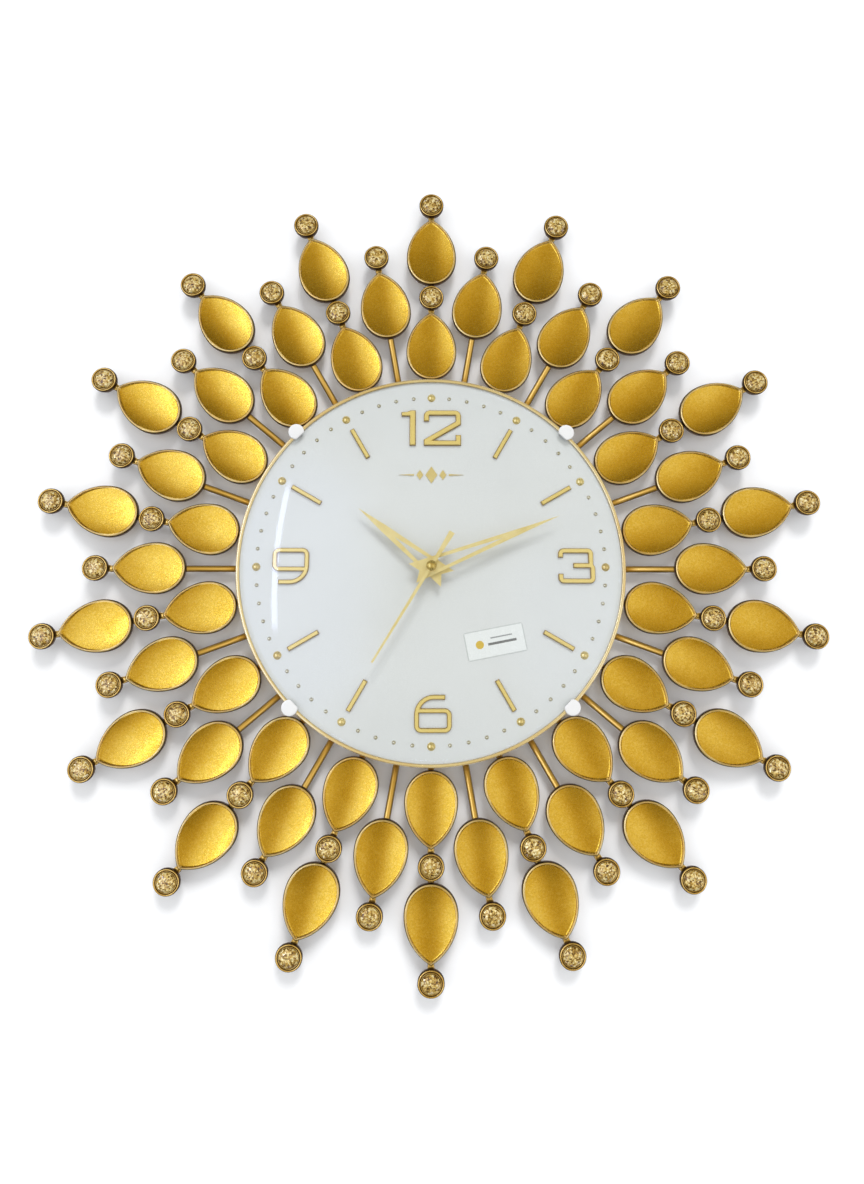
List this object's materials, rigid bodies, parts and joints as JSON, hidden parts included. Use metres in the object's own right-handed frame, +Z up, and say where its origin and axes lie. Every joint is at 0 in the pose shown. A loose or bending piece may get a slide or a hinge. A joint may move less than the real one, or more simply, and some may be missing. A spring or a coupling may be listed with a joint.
{
  "type": "wall clock",
  "caption": "Sunburst wall clock: gold leaf rays tipped with set amber stones round a domed white dial; a battery quartz movement turns the hour, minute and second hands.",
  "frame": {"origin": "on the axis of the hands, in the wall plane, which is the rear face of the movement's rear cover", "axes": "-Y is the way the dial faces, +X is the viewer's right, +Z is up towards twelve"},
  "size_m": [0.5904, 0.0448, 0.5992],
  "materials": {
    "leaf_gold": "satin metallic gold with a fine sparkle, darker antique edge",
    "rod_gold": "satin antique gold",
    "cup_gold": "polished gold rim",
    "amber_stone": "clear champagne amber, faceted and foil backed",
    "bezel_gold": "satin gold",
    "clear_glass": "clear and polished",
    "clip_white": "smooth",
    "dial_white": "gloss",
    "marker_gold": "satin gold, bevelled",
    "minute_gold": "pale polished gold",
    "ornament_gold": "satin gold",
    "label_film": "clear film",
    "hand_gold": "gold anodised, satin",
    "cap_gold": "polished gold",
    "plate_black": "matt black powder coat",
    "tray_steel": "satin gold lacquer",
    "hardboard": "smooth pressed board",
    "screw_steel": "zinc plated",
    "case_black": "fine moulded grain",
    "bridge_grey": "moulded",
    "nylon_white": "moulded nylon",
    "nylon_blue": "moulded nylon",
    "turned_brass": "turned",
    "turned_aluminium": "turned",
    "rubber_black": "matt",
    "cell_wrap": "plain printed sleeve",
    "nickel_strip": "nickel plated",
    "lamination": "pressed",
    "bobbin_plastic": "moulded",
    "copper_wire": "enamelled copper",
    "board_green": "lacquered",
    "crystal_can": "drawn can",
    "chip_black": "resin drop"
  },
  "bodies": {
    "clock": {"long_ray_rods": "rod_gold", "short_ray_rods": "rod_gold", "inner_leaves": "leaf_gold", "outer_leaves": "leaf_gold", "short_ray_leaves": "leaf_gold", "inner_gem_cups": "cup_gold", "outer_gem_cups": "cup_gold", "short_ray_gem_cups": "cup_gold", "inner_gems": "amber_stone", "outer_gems": "amber_stone", "short_ray_gems": "amber_stone", "frame_screws": "screw_steel", "back_plate": "plate_black", "dial_tray": "tray_steel", "dial_board": "hardboard", "dial_face": "dial_white", "bezel": "bezel_gold", "dome_glass": "clear_glass", "glass_clips": "clip_white", "numeral_12": "marker_gold", "numeral_3": "marker_gold", "numeral_6": "marker_gold", "numeral_9": "marker_gold", "hour_bars": "marker_gold", "hour_studs": "marker_gold", "minute_studs": "minute_gold", "dial_ornament": "ornament_gold", "dial_label": "label_film", "movement_front_case": "case_black", "movement_rear_cover": "case_black", "train_bridge": "bridge_grey", "bridge_screws": "screw_steel", "center_bush": "turned_brass", "bush_nut": "turned_brass", "bush_washer": "turned_brass", "rubber_washer": "rubber_black", "battery": "cell_wrap", "contact_positive": "nickel_strip", "contact_negative": "nickel_strip", "stator": "lamination", "coil_core": "lamination", "coil_bobbin": "bobbin_plastic", "coil_winding": "copper_wire", "circuit_board": "board_green", "quartz_crystal": "crystal_can", "control_chip": "chip_black"},
    "second_hand": {"second_hand": "hand_gold", "second_hand_cap": "cap_gold", "second_wheel": "nylon_white"},
    "minute_hand": {"minute_hand": "hand_gold", "minute_arbor": "turned_aluminium", "center_wheel": "nylon_white"},
    "hour_hand": {"hour_hand": "hand_gold", "hour_wheel": "nylon_white"},
    "third_wheel": {"third_wheel": "nylon_white"},
    "fifth_wheel": {"fifth_wheel": "nylon_white"},
    "rotor": {"rotor": "nylon_blue"},
    "minute_wheel": {"minute_wheel": "nylon_white"},
    "setting_knob": {"setting_knob": "nylon_white"}
  },
  "joints": [
    {"name": "second_hand_turn", "type": "hinge", "parent": "clock", "child": "second_hand", "pos_m": [0, 0, 0], "axis": [0, 1, 0], "continuous": true},
    {"name": "minute_hand_turn", "type": "hinge", "parent": "clock", "child": "minute_hand", "pos_m": [0, 0, 0], "axis": [0, 1, 0], "continuous": true},
    {"name": "hour_hand_turn", "type": "hinge", "parent": "clock", "child": "hour_hand", "pos_m": [0, 0, 0], "axis": [0, 1, 0], "continuous": true},
    {"name": "third_wheel_turn", "type": "hinge", "parent": "clock", "child": "third_wheel", "pos_m": [0, 0, 0.01224], "axis": [0, 1, 0], "continuous": true},
    {"name": "fifth_wheel_turn", "type": "hinge", "parent": "clock", "child": "fifth_wheel", "pos_m": [-0.01039, 0, 0.006], "axis": [0, 1, 0], "continuous": true},
    {"name": "rotor_turn", "type": "hinge", "parent": "clock", "child": "rotor", "pos_m": [-0.01534, 0, 0.01095], "axis": [0, 1, 0], "continuous": true},
    {"name": "minute_wheel_turn", "type": "hinge", "parent": "clock", "child": "minute_wheel", "pos_m": [0.0075, 0, 0], "axis": [0, 1, 0], "continuous": true},
    {"name": "setting_knob_turn", "type": "hinge", "parent": "clock", "child": "setting_knob", "pos_m": [0.015, 0, 0], "axis": [0, 1, 0], "continuous": true}
  ],
  "couplings": [
    {"joint": "minute_hand_turn", "follows": "second_hand_turn", "ratio": 0.016667},
    {"joint": "hour_hand_turn", "follows": "second_hand_turn", "ratio": 0.0013889},
    {"joint": "third_wheel_turn", "follows": "second_hand_turn", "ratio": -0.13333},
    {"joint": "fifth_wheel_turn", "follows": "second_hand_turn", "ratio": -5},
    {"joint": "rotor_turn", "follows": "second_hand_turn", "ratio": 30},
    {"joint": "minute_wheel_turn", "follows": "second_hand_turn", "ratio": -0.0055556},
    {"joint": "setting_knob_turn", "follows": "second_hand_turn", "ratio": 0.016667}
  ]
}
